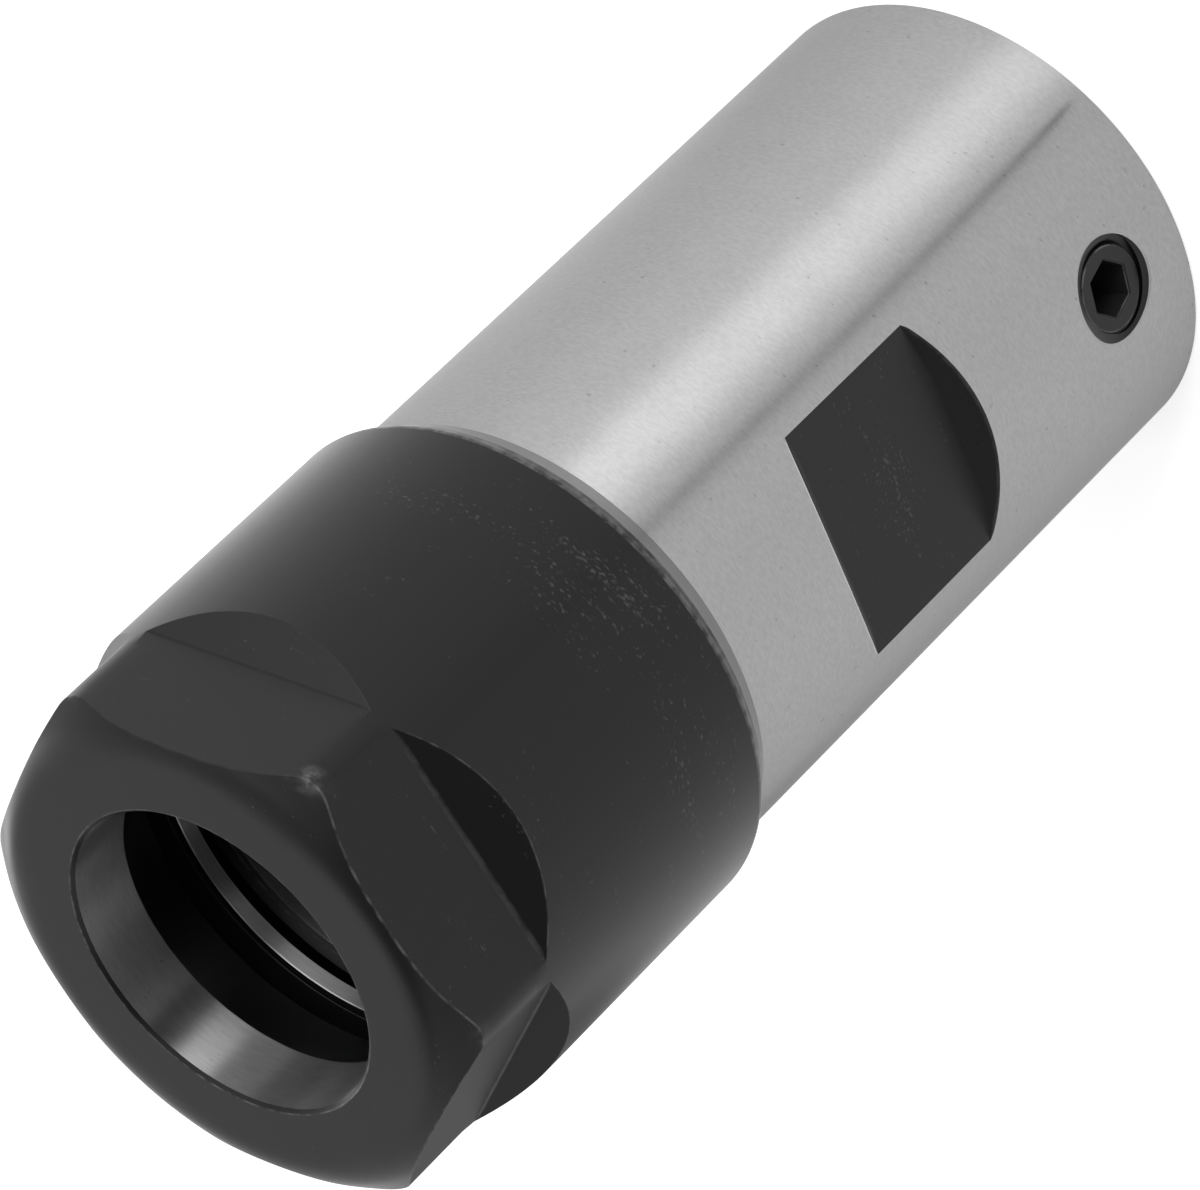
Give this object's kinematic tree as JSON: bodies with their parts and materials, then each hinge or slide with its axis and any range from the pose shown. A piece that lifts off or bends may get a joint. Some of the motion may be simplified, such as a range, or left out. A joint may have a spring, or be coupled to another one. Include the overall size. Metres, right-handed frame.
{
  "type": "collet chuck holder",
  "caption": "Straight-shank collet chuck that slips on a motor shaft, with wrench recesses, grub screws and a hexagonal screwed clamping nut.",
  "frame": {"origin": "centre of the rear end face of the shank, which is the bottom of the bounding box", "axes": "+Z along the axis from the motor-shaft end to the collet end, -Y out of the visible wrench recess and grub screw"},
  "size_m": [0.027, 0.027, 0.06],
  "materials": {
    "ground_steel": "ground, fine lengthwise and ring marks",
    "black_oxide": "black oxide, satin, with light rubbed specks",
    "screw_steel": "black oxide, dull"
  },
  "bodies": {
    "body": {"chuck_body": "ground_steel"},
    "nut": {"clamping_nut": "black_oxide"},
    "front_screw": {"grub_screw_front": "screw_steel"},
    "back_screw": {"grub_screw_back": "screw_steel"}
  },
  "joints": [
    {"name": "nut_travel", "type": "slide", "parent": "body", "child": "nut", "axis": [0, 0, 1], "range_m": [0, 0.02]},
    {"name": "front_screw_travel", "type": "slide", "parent": "body", "child": "front_screw", "axis": [0, -1, 0], "range_m": [-0.002, 0.007]},
    {"name": "back_screw_travel", "type": "slide", "parent": "body", "child": "back_screw", "axis": [0, 1, 0], "range_m": [-0.002, 0.007]}
  ]
}
